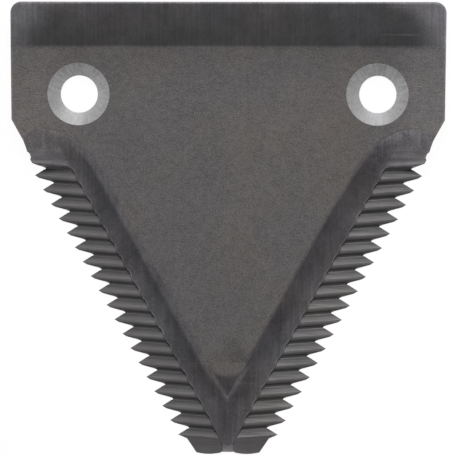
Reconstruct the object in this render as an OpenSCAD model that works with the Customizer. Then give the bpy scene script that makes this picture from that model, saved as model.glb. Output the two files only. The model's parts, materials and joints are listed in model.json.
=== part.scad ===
// Serrated knife section for the sickle bar of a mower, stamped from one plate.
// Millimetres. The origin lies midway between the bolt holes, on the underside.
// X runs along the bolt row, +Y to the back edge, -Y to the point, +Z upwards.

/* [Plate] */
// Thickness of the plate
plate_t = 2.8; // [2.5:0.1:3.4]
// Width across the back edge
back_w = 76; // [75:0.5:80]
// Distance from the bolt row to the back edge
back_y = 16.1; // [14:0.1:18]
// Radius of the two back corners
corner_r = 1.9; // [0.5:0.1:4]
// Width across the shoulders, where the sides turn inwards
shoulder_w = 75.5; // [73:0.5:76]
// Distance from the bolt row to the shoulders
shoulder_y = 4.6; // [3:0.1:7]
// Setback of the heel corners from the line of tooth tips
heel_inset = 0.8; // [0.4:0.1:1.4]
// Distance from the heel corners to the tooth line that the first groove starts from
heel_rise = 0.25; // [0:0.05:0.6]

/* [Bolt holes] */
// Distance between the two hole axes
hole_spacing = 52.1; // [46:0.1:56]
// Diameter of each hole
hole_d = 6.5; // [6:0.1:7.5]
// Diameter of each countersink at the top face
sink_d = 10.85; // [9:0.05:11.5]
// Angle between opposite sides of the countersink
sink_angle = 90; // [84:1:110]

/* [Back bevel] */
// Width of the hollow bevel along the back edge
back_bevel_w = 8; // [5:0.1:9]
// Slope of that bevel where it leaves the flat top
back_slope_in = 7; // [5:0.5:9]
// Slope of that bevel at the back edge
back_slope_out = 3; // [0:0.5:4]

/* [Cutting edges] */
// Half-width between the lines of tooth tips, drawn on to the bolt row
edge_half_w = 41.7; // [41:0.1:43]
// Angle of each cutting edge to the centre line
edge_angle = 29.06; // [28.5:0.02:29.6]
// Distance from each line of tooth tips in to the flat top
bevel_w = 10.7; // [9.5:0.1:11.5]
// Slope of the hollow bevel where it leaves the flat top
bevel_slope_in = 22; // [19:0.5:28]
// Slope of the hollow bevel at the serrated margin
bevel_slope_out = 10; // [5:0.5:13]
// Length of the run-out of the hollow bevel, up to the heel corner
runout_l = 8.2; // [4:0.1:12]

/* [Serration] */
// Number of teeth on each edge
tooth_count = 19; // [14:1:20]
// Spacing of the teeth, along the centre line
tooth_pitch = 2.51; // [2.3:0.01:2.58]
// Distance from the bolt row to the first tooth tips
first_tip_y = 14.2; // [13.4:0.1:15.2]
// Width of the serrated margin, square to the edge
margin_w = 6; // [5:0.1:6.6]
// Depth of the step from the hollow bevel down to the margin
step_h = 0.15; // [0.05:0.01:0.3]
// Thickness left at each tooth tip
tip_t = 0.04; // [0.03:0.01:0.2]
// Depth of the gullets, square to the edge
gullet_in = 2.25; // [1.6:0.05:2.6]
// Tilt of the grooves to the bolt row, their inner ends towards the point
groove_tilt = 4; // [0:0.5:8]
// Width of the blunt crest beside each steep groove wall
crest_w = 0.4; // [0.2:0.02:0.5]
// Fall of the blunt crest over that width
crest_fall = 0.12; // [0.06:0.01:0.16]
// Distance across the grooves from a crest to the next groove floor
floor_at = 1.06; // [0.95:0.01:1.25]
// Width of the rounded groove floor
floor_w = 0.5; // [0.3:0.02:0.7]
// Rise of the groove floor at its two sides
floor_rise = 0.08; // [0.04:0.01:0.12]

/* [Point] */
// Distance from the bolt row to the rounded end of the flat top
flat_end_y = 49.1; // [46:0.1:50.5]
// How much fuller that end is than a round that just touches both bevels
flat_end_full = 0.4; // [0.2:0.05:0.8]
// Slope of the conical relief round that end
nose_slope = 2.5; // [1.5:0.1:4]
// Distance from the last tooth tips to the end of the point
nose_l = 3.37; // [2.8:0.01:4]
// Width of the blunt end
nose_w = 11; // [9:0.1:11.4]
// Setback of the corners below the last tooth tips
nose_inset = 1.55; // [1:0.05:1.6]
// Distance from the last tooth tips down to those corners
nose_drop = 0.66; // [0.5:0.01:0.9]
// Bulge of the two lobes of the blunt end
lobe_bulge = 0.26; // [0.1:0.01:0.5]
// Depth of the lobes below the line of the tooth crests
lobe_fall = 0.12; // [0.05:0.01:0.2]
// Width of the strip left standing between the lobes
strip_w = 2.1; // [1.4:0.1:3]
// Width that the notch has on each side beyond the strip
notch_side = 0.15; // [0.1:0.01:0.3]
// Depth of the notch at the end of the strip
notch_h = 0.36; // [0.1:0.01:0.6]
// Length of the chamfer at the end of the strip
strip_chamfer = 1.3; // [0.6:0.1:2]
// Thickness left below that chamfer
strip_end_t = 0.5; // [0.3:0.05:0.8]

/* [Hidden] */
$fn = 96;
// How far a cutting tool runs past the face that it cuts
over = 1;
// Length of the tools that run along a whole edge
tool_l = 80;

// Line of tooth tips, as a half-width at any place on the centre line
function tip_x(y) = edge_half_w + y * tan(edge_angle);

heel_tip_y = tooth_pitch - first_tip_y;
heel_y = heel_tip_y + heel_rise;
// The heel edge runs on into the first gullet, which cuts it off
heel_end_y = heel_tip_y - tooth_pitch / 3;
last_tip_y = -first_tip_y - (tooth_count - 1) * tooth_pitch;
point_y = last_tip_y - nose_l;
notch_y = point_y + notch_h;
notch_half = strip_w / 2 + notch_side;
// The line of tips runs on this far, so that the last crest ends on it
tip_over = 0.1;

// Hollow bevel: an arc that meets the flat top and the margin at the given slopes
hollow_r = (bevel_w - margin_w) / (sin(bevel_slope_in) - sin(bevel_slope_out));
hollow_u = margin_w - hollow_r * sin(bevel_slope_out);
hollow_z = plate_t + hollow_r * cos(bevel_slope_in);
step_z = hollow_z - hollow_r * cos(bevel_slope_out);
// The run-out's wheel is just large enough to be ring-shaped
runout_r = hollow_r + over;
runout_turn = 40;

// Margin plane, which holds the crests and falls to the tooth tips
margin_fall = atan((step_z - step_h - tip_t) / margin_w);
groove_turn = atan(tan(edge_angle + groove_tilt) * cos(margin_fall));
groove_pitch = tooth_pitch / cos(edge_angle) * cos(groove_turn);
groove_d = (tip_t + gullet_in * tan(margin_fall)) * cos(margin_fall);
// Steepness of the wall where the serration starts at the heel
end_wall = 75;

// Rounded end of the flat top, between both bevels
touch_r = (tip_x(-flat_end_y) * cos(edge_angle) - bevel_w) / (1 - sin(edge_angle));
flat_end_r = touch_r + flat_end_full;
flat_end_mid = flat_end_r - flat_end_y;
cone_h = plate_t + flat_end_r * tan(nose_slope);
relief_reach = 14;

// Back bevel, hollow in the same way
back_r = back_bevel_w / (sin(back_slope_in) - sin(back_slope_out));
back_mid_y = back_y + back_r * sin(back_slope_out);
back_mid_z = plate_t + back_r * cos(back_slope_in);

half_outline = concat(
    [for (a = [90:-15:0])
        [back_w / 2 - corner_r + corner_r * cos(a), back_y - corner_r + corner_r * sin(a)]],
    [
        [shoulder_w / 2, -shoulder_y],
        [tip_x(heel_y) - heel_inset, heel_y],
        [tip_x(heel_end_y) - heel_inset, heel_end_y],
        [tip_x(heel_end_y), heel_end_y],
        [tip_x(last_tip_y - tip_over), last_tip_y - tip_over],
        [tip_x(last_tip_y) - nose_inset, last_tip_y - nose_drop]
    ],
    [for (s = [0:0.2:1])
        [nose_w / 2 + s * (notch_half - nose_w / 2), point_y + lobe_bulge * pow(2 * s - 1, 2)]],
    [[notch_half, notch_y]]
);

// One groove, from the crest above it to its floor, counted from the heel
function groove(i) = let (crest = -i * groove_pitch) concat(
    [[crest, 0]],
    i == 0 ? [] : [[crest - crest_w, -crest_fall]],
    [for (s = [0:0.25:1])
        [crest - floor_at + floor_w * (0.5 - s), floor_rise * pow(2 * s - 1, 2) - groove_d]]
);

last_crest = -tooth_count * groove_pitch;
lobe_end = last_crest - 2 * nose_l;
rack = concat(
    [[plate_t / tan(end_wall), plate_t]],
    [for (i = [0:tooth_count - 1]) each groove(i)],
    [
        [last_crest, 0],
        [last_crest - crest_w, -crest_fall],
        [last_crest - crest_w - lobe_fall, -crest_fall - lobe_fall],
        [lobe_end, -crest_fall - lobe_fall],
        [lobe_end, plate_t]
    ]
);

module each_side() {
    children();
    mirror([1, 0, 0]) children();
}

// Places children at the heel's tooth tip, with X square to the edge and Y along it
module on_edge(z) {
    translate([tip_x(heel_tip_y), heel_tip_y, z]) rotate([0, 0, -edge_angle]) children();
}

module blank() {
    linear_extrude(plate_t)
        polygon(concat(half_outline, [for (i = [len(half_outline) - 1:-1:0])
            [-half_outline[i][0], half_outline[i][1]]]));
}

module bolt_hole() {
    sink_h = (sink_d - hole_d) / 2 / tan(sink_angle / 2);
    translate([hole_spacing / 2, 0, -over]) cylinder(h = plate_t + 2 * over, d = hole_d);
    translate([hole_spacing / 2, 0, plate_t - sink_h])
        cylinder(h = 2 * sink_h, d1 = hole_d, d2 = 2 * sink_d - hole_d);
}

// The wheel that grinds the bevel leaves its own round at the heel
module hollow_bevel() {
    on_edge(0) translate([-hollow_u, -runout_l, hollow_z]) {
        rotate([90, 0, 0]) cylinder(h = tool_l, r = hollow_r);
        translate([0, 0, runout_r]) rotate([0, 90, 0]) rotate_extrude(angle = runout_turn)
            translate([runout_r, 0]) circle(r = hollow_r);
    }
}

module serrated_margin() {
    step_x = margin_w / cos(edge_angle);
    strip_y = (strip_w / 2 + step_x - edge_half_w) / tan(edge_angle);
    intersection() {
        on_edge(tip_t) rotate([0, margin_fall, 0]) rotate([0, 0, groove_turn])
            rotate([90, 0, 90]) linear_extrude(tool_l, center = true) polygon(rack);
        translate([0, 0, -over]) linear_extrude(plate_t + 2 * over) polygon([
            [tip_x(0) - step_x, 0],
            [strip_w / 2, strip_y],
            [strip_w / 2, point_y - over],
            [back_w, point_y - over],
            [back_w, 0]
        ]);
    }
}

module back_bevel() {
    translate([-back_w, back_mid_y, back_mid_z]) rotate([0, 90, 0])
        cylinder(h = 2 * back_w, r = back_r);
}

// Slight cone round the end of the flat top, between the two bevels
module nose_relief() {
    translate([0, flat_end_mid, 0]) difference() {
        translate([0, 0, plate_t / 2]) linear_extrude(plate_t) polygon([
            [0, 0],
            [relief_reach * cos(edge_angle), -relief_reach * sin(edge_angle)],
            [relief_reach / 2, -relief_reach],
            [-relief_reach / 2, -relief_reach],
            [-relief_reach * cos(edge_angle), -relief_reach * sin(edge_angle)]
        ]);
        cylinder(h = cone_h, r1 = cone_h / tan(nose_slope), r2 = 0);
    }
}

module strip_end() {
    rise = step_z + step_h - strip_end_t;
    rotate([90, 0, 90]) linear_extrude(strip_w + notch_side, center = true) polygon([
        [notch_y + 2 * strip_chamfer, strip_end_t + 2 * rise],
        [notch_y - strip_chamfer, strip_end_t - rise],
        [notch_y - strip_chamfer, strip_end_t + 2 * rise]
    ]);
}

module sickle_section() {
    color([0.36, 0.35, 0.36]) difference() {
        blank();
        each_side() hollow_bevel();
        each_side() serrated_margin();
        each_side() bolt_hole();
        back_bevel();
        nose_relief();
        strip_end();
    }
}

sickle_section();
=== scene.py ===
import bmesh
import bpy
import json
import math
from mathutils import Matrix, Vector
from mathutils.geometry import delaunay_2d_cdt, intersect_line_line_2d


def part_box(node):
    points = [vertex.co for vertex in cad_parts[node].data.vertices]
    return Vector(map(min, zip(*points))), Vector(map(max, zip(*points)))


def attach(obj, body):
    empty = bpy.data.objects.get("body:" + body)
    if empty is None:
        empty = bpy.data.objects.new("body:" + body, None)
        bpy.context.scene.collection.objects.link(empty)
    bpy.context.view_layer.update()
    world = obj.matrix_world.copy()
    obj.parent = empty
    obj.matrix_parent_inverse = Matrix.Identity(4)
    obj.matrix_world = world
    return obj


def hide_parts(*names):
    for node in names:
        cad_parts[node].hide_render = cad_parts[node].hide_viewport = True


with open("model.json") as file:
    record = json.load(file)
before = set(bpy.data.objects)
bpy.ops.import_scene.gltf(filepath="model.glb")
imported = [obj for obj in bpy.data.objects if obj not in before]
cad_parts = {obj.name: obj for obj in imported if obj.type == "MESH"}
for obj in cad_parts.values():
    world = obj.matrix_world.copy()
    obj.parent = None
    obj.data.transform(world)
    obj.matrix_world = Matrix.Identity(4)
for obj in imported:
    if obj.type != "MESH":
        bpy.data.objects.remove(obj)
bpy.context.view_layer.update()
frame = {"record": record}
mm = 0.001  # all sizes below are in millimetres, meshes in metres

low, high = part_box("sickle_section")
boltHoles = next(m for m in frame["record"]["mounts"] if m["name"] == "bolt_holes")["dims"]

plate = {
    "thickness": (high[2] - low[2]) / mm,
    "backWidth": (high[0] - low[0]) / mm,
    "backY": high[1] / mm,
    "pointY": low[1] / mm,
    "cornerRadius": 1.9,
    "shoulderWidth": 75.5,
    "shoulderY": -4.45,
    "heelBend": (35.77, -8.0),  # the slanted side is drawn in a little
    "tornHeel": [(35.26, -9.35), (35.08, -10.02), (34.66, -10.36), (34.42, -11.0)],  # and torn lower down
    "heelInset": 0.8,  # heel corners stand back from the line of tips
    "heelRise": 0.25,
    "heelPart": 3,  # its side ends this part of a pitch below the first crest
    "rollWidth": 0.42,  # sheared edges are drawn in by the die
    "rollDepth": 0.15,
}
sink = {
    "spacing": boltHoles["spacing_x_mm"],
    "holeRadius": boltHoles["hole_r_mm"],
    "radius": 5.425,
    "halfAngle": math.radians(45),
    "segments": 72,
    "edgeShare": 0.9985,  # faces nearer the middle than this share of the radius are cut out
}
backBevel = {
    "width": 8.0,
    "slopeIn": math.radians(7),
    "slopeOut": math.radians(3),
    "softEdge": 0.5,  # over which the ground look and its painted shade fade at the flat
    "endCurve": 0.11,  # how fast its light ends widen to the back edge
}
bevel = {
    "width": 10.7,  # from the line of tips in to the flat top
    "slopeIn": math.radians(22),
    "slopeOut": math.radians(10),
    "runoutLength": 8.2,
    "ringGap": 1.0,  # how much wider the round of the run-out is than the hollow
    "softEdge": 0.7,  # over which the ground look and its painted shade fade at the flat
    "leftShort": 1.1,  # the ground look and its painted shade stop short of the crease on the left
    "rightOver": 0.3,  # and run over it on the right
    "heelShort": 0.6,  # but not at the heel
    "overEnd": 1,  # how far up the run-out it still shows on the flat
    "darkReach": 4.9,  # how far from the crease its dark band goes
    "darkWidth": 3.4,
    "darkWidthHeel": 2.2,
    "darkShareHeel": 0.3,
}
serration = {
    "halfWidth": 41.7,  # line of tips, drawn on to the bolt row
    "edgeAngle": math.radians(29.06),
    "teeth": 19,
    "pitch": 2.51,
    "firstTipY": -14.2,
    "marginWidth": 6.0,
    "stepHeight": 0.15,
    "tipThickness": 0.04,
    "gulletDepth": 2.25,
    "tilt": math.radians(4),
    "crestWidth": 0.4,
    "crestFall": 0.12,
    "floorPlace": 1.06,
    "floorWidth": 0.5,
    "floorRise": 0.08,
    "landWidth": 0.6,  # top of a tooth below its crest
    "landFall": 0.1,
    "wallSlope": 8.0,  # of the first groove's wall, which starts in the bevel
    "wallWidth": 0.14,  # plan width of the step's wall
    "lipWidth": 0.35,
    "lipDrop": 0.02,
    "bite": 0.26,  # how far each groove runs on into the bevel
    "biteSkew": 1.6,
    "heelLine": -0.02,  # painted highlight line above the first groove, and its half width
    "heelLineWidth": 0.45,
}
nose = {
    "flatEndY": -49.1,
    "fuller": 0.4,  # than a round that just touches both bevels
    "slope": math.radians(0.6),
    "width": 11.0,
    "inset": 1.55,
    "drop": 0.66,
    "bulge": 0.26,
    "lobeFall": 0.12,
    "lobeSlope": 0.2,
    "stripWidth": 2.1,
    "notchSide": 0.15,
    "notchHeight": 0.36,
    "chamfer": 1.3,
    "endThickness": 0.5,
    "vWidth": 0.55,  # half width of the painted highlight line beside the nose
    "vSpread": 0.45,  # how far its arms stand off the crease at the top
    "softEdge": 0.4,
}
meshing = {  # how finely the mesh is laid out
    "backCuts": 12,
    "cornerCuts": 10,
    "rollShares": (0.08, 0.25, 0.5, 0.75, 1),  # lines across the rolled edge
    "backStep": 2.4,
    "backPoints": 17,
    "runoutCuts": 40,
    "runoutCrowd": 1.5,  # above 1, its points crowd where it leaves the straight bevel
    "runoutEnd": 0.2,
    "creasePoints": 36,
    "stepStart": 0.6,
    "stepCuts": 240,
    "heelLines": (0.3, -0.15),
    "firstCuts": 14,  # the first groove starts in the hollow
    "floorCuts": 4,
    "lobeCuts": 10,
    "archCuts": 24,
    "apexStep": 0.02,
    "ridgeStep": 0.4,
    "vCuts": 12,
    "vStep": 0.01,
    "vReach": 6,
    "overrun": 1,  # how far a line goes on outside the outline
    "midGap": 0.15,  # no loose points nearer the centre line
    "snug": 0.001,  # nearer than this counts as the same place
    "hair": 1e-5,
    "weld": 0.002,
    "sharpAngle": math.radians(24),
}

# sizes that follow from the ones above
thick = plate["thickness"]
edgeAngle = serration["edgeAngle"]
sinEdge, cosEdge = math.sin(edgeAngle), math.cos(edgeAngle)
marginWidth = serration["marginWidth"]
sinIn, cosIn = math.sin(bevel["slopeIn"]), math.cos(bevel["slopeIn"])
sinOut, cosOut = math.sin(bevel["slopeOut"]), math.cos(bevel["slopeOut"])
hollowRadius = (bevel["width"] - marginWidth) / (sinIn - sinOut)
hollowInset = marginWidth - hollowRadius * sinOut
hollowZ = thick + hollowRadius * cosIn
stepZ = hollowZ - hollowRadius * cosOut
ringRadius = hollowRadius + bevel["ringGap"]
marginSlope = (stepZ - serration["stepHeight"] - serration["tipThickness"]) / marginWidth
marginFall = math.atan(marginSlope)
grooveTurn = math.atan(math.tan(edgeAngle + serration["tilt"]) * math.cos(marginFall))
groovePitch = serration["pitch"] / cosEdge * math.cos(grooveTurn)
grooveDepth = (serration["tipThickness"] + serration["gulletDepth"] * marginSlope) * math.cos(marginFall)
backSinIn, backSinOut = math.sin(backBevel["slopeIn"]), math.sin(backBevel["slopeOut"])
backRadius = backBevel["width"] / (backSinIn - backSinOut)
backMidY = plate["backY"] + backRadius * backSinOut
backMidZ = thick + backRadius * math.cos(backBevel["slopeIn"])
stripHalf = nose["stripWidth"] / 2
notchHalf = stripHalf + nose["notchSide"]
notchY = plate["pointY"] + nose["notchHeight"]
firstCrestY = serration["firstTipY"] + serration["pitch"]
lastTipY = serration["firstTipY"] - (serration["teeth"] - 1) * serration["pitch"]


def tipX(y):
    return serration["halfWidth"] + y * math.tan(edgeAngle)


heelTip = Vector((tipX(firstCrestY), firstCrestY))
alongEdge = Vector((sinEdge, cosEdge))
grooveOut = Vector((math.cos(serration["tilt"]), math.sin(serration["tilt"])))
grooveCos = math.cos(edgeAngle + serration["tilt"])  # inset gained per length of groove
touchRadius = (tipX(nose["flatEndY"]) * cosEdge - bevel["width"]) / (1 - sinEdge)
flatEndRadius = touchRadius + nose["fuller"]
flatEndMid = nose["flatEndY"] + flatEndRadius


def edgeCoords(x, y):  # inset from the line of tips, and way along it from the heel
    dx, dy = abs(x) - heelTip.x, y - heelTip.y
    return dy * sinEdge - dx * cosEdge, dx * sinEdge + dy * cosEdge


def grooveAcross(inset, along):  # square to the grooves, in the margin's plane
    return math.sin(grooveTurn) * inset / math.cos(marginFall) + math.cos(grooveTurn) * along


def fromEdge(inset, along):
    return heelTip + alongEdge * along - Vector((cosEdge, -sinEdge)) * inset


def stepShift(along):  # each groove bites a little into the bevel below its wall
    down = -grooveAcross(marginWidth, along)
    if not 0 < down < (serration["teeth"] - 1) * groovePitch:
        return 0
    part = down / groovePitch % 1
    return serration["bite"] * math.sin(math.pi * part ** serration["biteSkew"])


def hollowHeight(inset, along):
    reach = hollowRadius ** 2 - (inset - hollowInset) ** 2
    if reach <= 0:
        return math.inf
    sag = math.sqrt(reach)
    beyond = along + bevel["runoutLength"]
    if beyond <= 0:
        return hollowZ - sag
    return hollowZ + ringRadius - math.sqrt((ringRadius + sag) ** 2 - beyond ** 2)


def runoutReach(inset):  # how far along the wheel's round goes before it leaves the flat
    sag = math.sqrt(hollowRadius ** 2 - (inset - hollowInset) ** 2)
    return math.sqrt((ringRadius + sag) ** 2 - (hollowZ + ringRadius - thick) ** 2) - bevel["runoutLength"]


def creaseInset(beyond):  # where the bevel meets the flat, that far up the run-out
    sag = math.hypot(hollowZ + ringRadius - thick, max(0, beyond)) - ringRadius
    return hollowInset + math.sqrt(max(0, hollowRadius ** 2 - sag ** 2))


def isNoseSide(x, y):  # below the round end of the flat, between the two bevels
    return y - flatEndMid < -abs(x) * math.tan(edgeAngle)


def arcPoints(x, y, radius, start, end, steps):
    angles = [start + (end - start) * i / steps for i in range(steps + 1)]
    return [(x + radius * math.cos(a), y + radius * math.sin(a)) for a in angles]


def cutLine(a, b, cuts):
    return [tuple(Vector(a).lerp(Vector(b), i / cuts)) for i in range(cuts + 1)]


def mirrored(points):
    return [(-x, y) for x, y in points]


# heel side, from the middle of the back to the first gullet
corner = plate["cornerRadius"]
halfBack = plate["backWidth"] / 2
heelCornerY = heelTip.y + plate["heelRise"]
heelEndY = heelTip.y - serration["pitch"] / plate["heelPart"]
heelPath = [(halfBack * i / meshing["backCuts"], plate["backY"]) for i in range(meshing["backCuts"])]
backCorner = (halfBack - corner, plate["backY"] - corner, corner)
heelPath += arcPoints(*backCorner, math.pi / 2, 0, meshing["cornerCuts"])
heelPath += [
    (plate["shoulderWidth"] / 2, plate["shoulderY"]),
    plate["heelBend"],
    *plate["tornHeel"],
    (tipX(heelCornerY) - plate["heelInset"], heelCornerY),
    (tipX(heelEndY) - plate["heelInset"], heelEndY),
]


def rolledPath(inset):  # the heel side, drawn inwards
    points = [Vector(p) for p in heelPath]
    drawn = []
    for i, point in enumerate(points):
        before = (point - points[i - 1]).normalized() if i else Vector((1, 0))
        after = (points[i + 1] - point).normalized() if i + 1 < len(points) else before
        normal = Vector((before.y + after.y, -before.x - after.x)).normalized()
        stretch = normal.dot(Vector((before.y, -before.x)))
        drawn.append(tuple(point + normal * (inset / stretch)))
    return drawn


def distanceTo(path, x, y):
    spot = Vector((abs(x), y))
    best = math.inf
    for a, b in zip(path, path[1:]):
        a, b = Vector(a), Vector(b)
        share = max(0, min(1, (spot - a).dot(b - a) / (b - a).length_squared))
        best = min(best, (spot - a - (b - a) * share).length)
    return best


def rollShare(x, y):  # 1 at the sheared edge, 0 where the rolled part of the top begins
    return max(0, 1 - distanceTo(heelPath, x, y) / plate["rollWidth"])


def rollDrop(x, y):
    return plate["rollDepth"] * (1 - math.sqrt(1 - rollShare(x, y) ** 2))


def groundHeight(x, y):  # the top before it is serrated, and the name of its face
    inset, along = edgeCoords(x, y)
    backZ = backMidZ - math.sqrt(backRadius ** 2 - (y - backMidY) ** 2)
    faces = [(thick, "flat"), (hollowHeight(inset, along), "bevel"), (backZ, "back")]
    if isNoseSide(x, y):
        pastEnd = math.hypot(x, y - flatEndMid) - flatEndRadius
        faces.append((thick - pastEnd * math.tan(nose["slope"]), "nose"))
    fromHole = math.hypot(abs(x) - sink["spacing"] / 2, y)
    if fromHole < sink["radius"]:
        faces.append((thick - (sink["radius"] - fromHole) / math.tan(sink["halfAngle"]), "sink"))
    if abs(x) < notchHalf and y < notchY + nose["chamfer"]:
        rise = (stepZ + serration["stepHeight"] - nose["endThickness"]) / nose["chamfer"]
        faces.append((nose["endThickness"] + (y - notchY) * rise, "stripEnd"))
    z, face = min(faces)
    if abs(inset - marginWidth - stepShift(along) - serration["wallWidth"]) < meshing["snug"]:
        z -= serration["lipDrop"]
    return max(0, z - (rollDrop(x, y) if y > heelEndY else 0)), face


# one groove across: place below its crest, height off the margin plane
floorStart = serration["floorPlace"] - serration["floorWidth"] / 2
grooveRows = [(serration["crestWidth"], -serration["crestFall"])]
for i in range(meshing["floorCuts"] + 1):
    s = i / meshing["floorCuts"]
    floorZ = serration["floorRise"] * (2 * s - 1) ** 2 - grooveDepth
    grooveRows.append((floorStart + serration["floorWidth"] * s, floorZ))


def grooveEnds(across, height):  # outer and inner end of a line along a groove
    tip = heelTip + alongEdge * (across / math.cos(grooveTurn))
    outInset = max(0, -(serration["tipThickness"] + height / math.cos(marginFall)) / marginSlope)
    inLength = min((marginWidth + serration["bite"]) / grooveCos, (tip.x - stripHalf) / grooveOut.x)
    return tuple(tip - grooveOut * (outInset / grooveCos)), tuple(tip - grooveOut * inLength)


# rows of the serration, from the heel to the lobes
rows = [(0, 0)] + [(-p, h) for p, h in grooveRows[1:]]
for tooth in range(1, serration["teeth"]):
    rows.append((-tooth * groovePitch, 0))
    rows += [(-tooth * groovePitch - p, h) for p, h in grooveRows]
lastCrest = -serration["teeth"] * groovePitch
rows.append((lastCrest, 0))
rowEnds = [grooveEnds(across, height) for across, height in rows]
lobeStart = lastCrest - serration["landWidth"]
lobeRows = [lobeStart, lobeStart - nose["lobeFall"] / nose["lobeSlope"]]

# painted highlight and shade across one groove, a lit crest and a shaded wall and floor: place below its
# crest, tone
grooveTones = [
    (0, 1.05), (0.12, 1.85), (0.3, 1.15), (0.53, 0.6), (0.6, 1.1), (0.81, 1.2), (1.0, 0.85), (1.12, 0.75),
    (1.22, 0.65), (1.31, 0.38), (1.42, 0.38), (1.6, 0.5), (1.9, 0.72), (2.2, 0.86),
]
crestTone = grooveTones[0][1]
toneSteps = grooveTones + [(groovePitch, crestTone)]


def wholeOutline():
    gullets = [outer for outer, inner in rowEnds]
    heelA, heelB = Vector(heelPath[-2]), Vector(heelPath[-1])
    for i in range(len(gullets) - 1):
        cross = intersect_line_line_2d(heelA, heelB, Vector(gullets[i]), Vector(gullets[i + 1]))
        if cross:
            gullets = [tuple(cross)] + gullets[i + 1:]
            break
    lobe = []
    for i in range(meshing["lobeCuts"] + 1):
        s = i / meshing["lobeCuts"]
        x = nose["width"] / 2 + s * (notchHalf - nose["width"] / 2)
        lobe.append((x, plate["pointY"] + nose["bulge"] * (2 * s - 1) ** 2))
    half = heelPath[:-1] + gullets
    half += [(tipX(lastTipY) - nose["inset"], lastTipY - nose["drop"])] + lobe + [(notchHalf, notchY)]
    return half + [(0, notchY)] + mirrored(half[:0:-1])


def besideLine(points, gap):  # a line at a set distance to the left of another
    points = [Vector(p) for p in points]
    moved = []
    for i, point in enumerate(points):
        along = (points[min(i + 1, len(points) - 1)] - points[max(i - 1, 0)]).normalized()
        moved.append(tuple(point + Vector((-along.y, along.x)) * gap))
    return moved


def noseCrease():  # where the nose meets the bevels, from its lowest point up
    apex = nose["flatEndY"]
    while groundHeight(0, apex)[1] != "bevel":
        apex -= meshing["apexStep"]
    crease = [(0, apex)]
    for i in range(1, meshing["vCuts"]):
        x = flatEndRadius * cosEdge * i / meshing["vCuts"]
        y = apex
        while groundHeight(x, y)[1] == "bevel" and y < nose["flatEndY"] + meshing["vReach"]:
            y += meshing["vStep"]
        crease.append((x, y))
    return crease


noseEdge = noseCrease()
apexY = noseEdge[0][1]
noseLine = []  # the painted highlight line, which spreads from the crease towards its top
for i, (a, b) in enumerate(zip(noseEdge, besideLine(noseEdge, -nose["vSpread"]))):
    noseLine.append(tuple(Vector(a).lerp(Vector(b), i / len(noseEdge))))


def creaseLine():  # edge of the flat along a bevel, then round its run-out
    run = bevel["width"] - meshing["runoutEnd"]
    shares = [(i / meshing["runoutCuts"]) ** meshing["runoutCrowd"] for i in range(meshing["runoutCuts"] + 1)]
    insets = [bevel["width"] - run * share for share in shares]
    straight = range(meshing["creasePoints"], 0, -1)
    line = [tuple(fromEdge(bevel["width"], -bevel["runoutLength"] - i)) for i in straight]
    return line + [tuple(fromEdge(inset, runoutReach(inset))) for inset in insets]


def stepLine(gap):  # edge of the margin, with a scallop at each groove, then down the strip
    x = stripHalf - gap
    y = (x + (marginWidth + gap) / cosEdge - serration["halfWidth"]) / math.tan(edgeAngle)
    start, cuts = meshing["stepStart"], meshing["stepCuts"]
    alongs = [start - i * (start - edgeCoords(x, y)[1]) / cuts for i in range(cuts)]
    line = [tuple(fromEdge(marginWidth + gap + stepShift(along), along)) for along in alongs]
    return line + [(x, y), (x, plate["pointY"] - meshing["overrun"])]


def featureLines():  # creases and rings that the mesh has to follow, on the right half
    lines = [rolledPath(plate["rollWidth"] * share) for share in meshing["rollShares"]]
    backLine = plate["backY"] - backBevel["width"]
    for gap in (-backBevel["softEdge"], 0, backBevel["softEdge"]):
        lines.append([(i * meshing["backStep"], backLine + gap) for i in range(meshing["backPoints"])])
    crease = creaseLine()
    lines.append(crease)
    softHalf = bevel["softEdge"] / 2
    leftShort, rightOver = bevel["leftShort"], bevel["rightOver"]
    for gap in (-leftShort - softHalf, -leftShort + softHalf, rightOver + softHalf):
        lines.append(besideLine(crease, gap))
    lines += [stepLine(gap) for gap in (0, serration["wallWidth"], serration["lipWidth"])]
    lines += [[outer, inner] for outer, inner in rowEnds[1:]]
    lines += [list(grooveEnds(across, 0)) for across in lobeRows]
    for tooth in range(serration["teeth"]):
        cuts = 1 if tooth else meshing["firstCuts"]
        for place, _ in grooveTones[1:]:
            lines.append(cutLine(*grooveEnds(-tooth * groovePitch - place, 0), cuts))
    chamferY = notchY + nose["chamfer"]
    lines.append([(0, chamferY), (notchHalf, chamferY)])
    lines.append([(notchHalf, chamferY), (notchHalf, notchY)])
    for gap in (-nose["softEdge"], 0, nose["softEdge"]):
        radius = flatEndRadius + gap
        lines.append(arcPoints(0, flatEndMid, radius, -edgeAngle, -math.pi / 2, meshing["archCuts"]))
    for place in meshing["heelLines"]:  # painted light strip above the first groove
        lines.append(cutLine(*grooveEnds(place, 0), meshing["firstCuts"]))
    ridgeStep = meshing["ridgeStep"]
    ridge = [(0, apexY - ridgeStep * i) for i in range(int((apexY - plate["pointY"]) / ridgeStep))]
    lines.append(ridge + [(0, plate["pointY"] - meshing["overrun"])])
    lines.append(noseEdge)
    lines += [besideLine(noseLine, gap) for gap in (-nose["vWidth"], 0, nose["vWidth"])]
    return lines


# loose points between the lines: first place, step and counts, both ways
bevelStart = marginWidth + serration["lipWidth"] + serration["bite"]
edgeGrids = [  # inset and way along the edge, for the bevel and its run-out
    {"start": (bevelStart, 6), "step": (0.33, -0.65), "counts": (14, 92), "first": 1},
    {"start": (0.5, 4.4), "step": (0.6, -0.5), "counts": (9, 14)},
]
plainGrids = [  # x and y, for the back bevel, the nose and the flat
    {"start": (0.5, plate["backY"] - 0.9), "step": (1.95, -0.78), "counts": (20, 9)},
    {"start": (0.25, nose["flatEndY"] - 0.53), "step": (0.35, -0.4), "counts": (12, 22)},
    {"start": (0.3, 7), "step": (4.7, -4), "counts": (8, 13)},
]


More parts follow.
